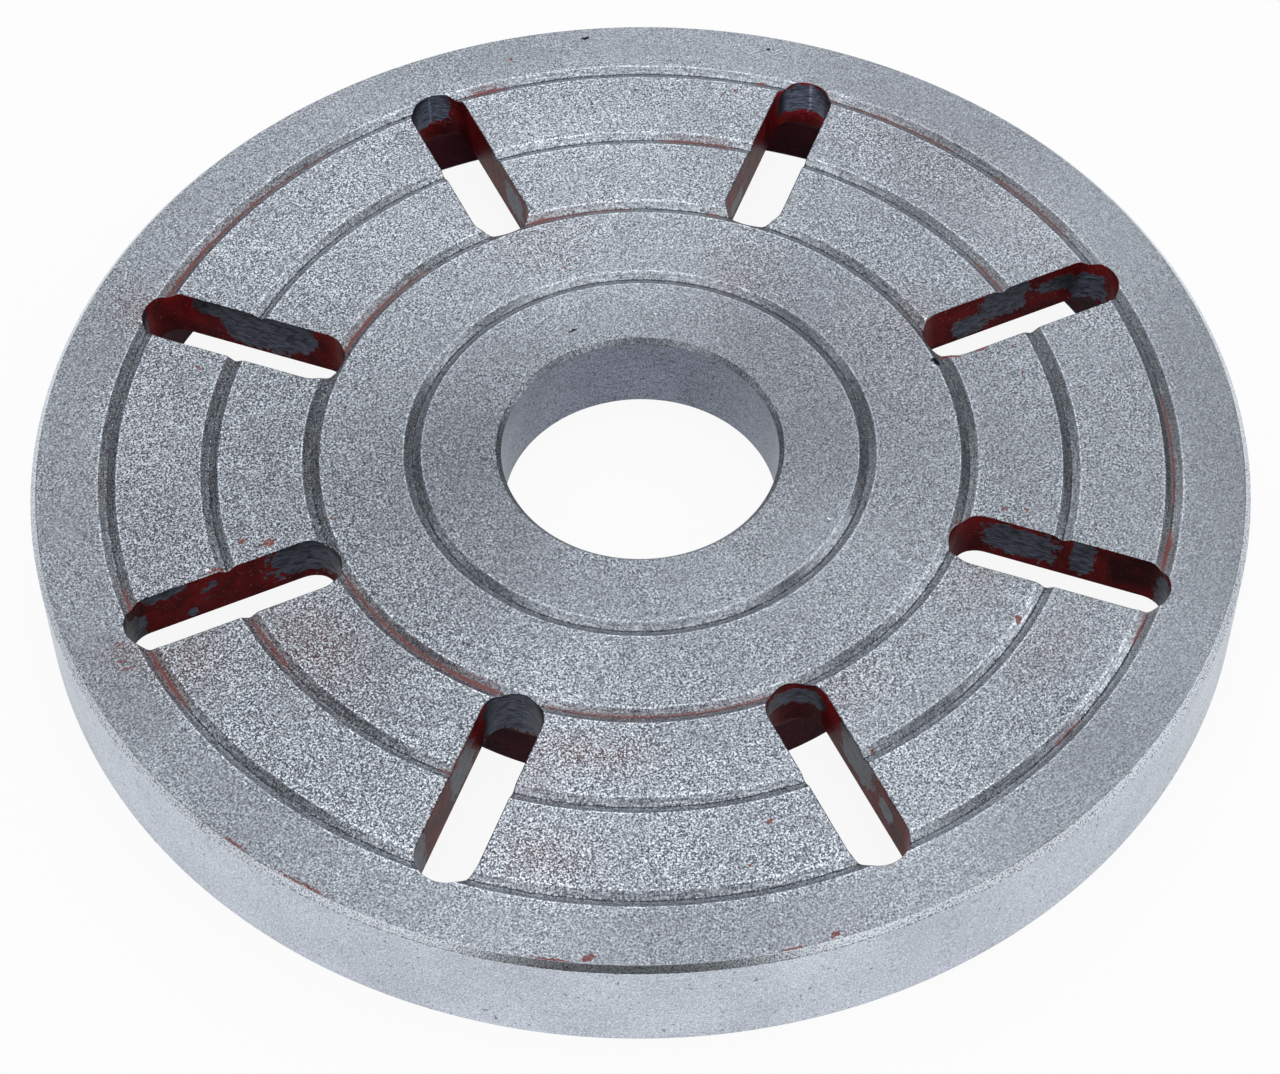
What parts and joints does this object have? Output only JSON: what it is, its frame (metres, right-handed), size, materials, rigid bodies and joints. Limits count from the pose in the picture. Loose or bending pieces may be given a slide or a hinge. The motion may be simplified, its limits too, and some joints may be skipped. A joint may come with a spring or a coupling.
{
  "type": "lathe face plate",
  "caption": "Flat round cast-iron face plate with radial through slots, ring grooves, a plain central bore and a flanged back with a centring register.",
  "frame": {"origin": "centre of the back plane, on the spindle axis", "axes": "+Z along the spindle axis out of the work face, +X along the middle of one slot"},
  "size_m": [0.24, 0.24, 0.024],
  "materials": {
    "cast_iron": "turned bare grey iron, mottled and lightly oiled, with dark red paint left in the slots"
  },
  "bodies": {
    "root": {"face_plate": "cast_iron"}
  },
  "joints": []
}
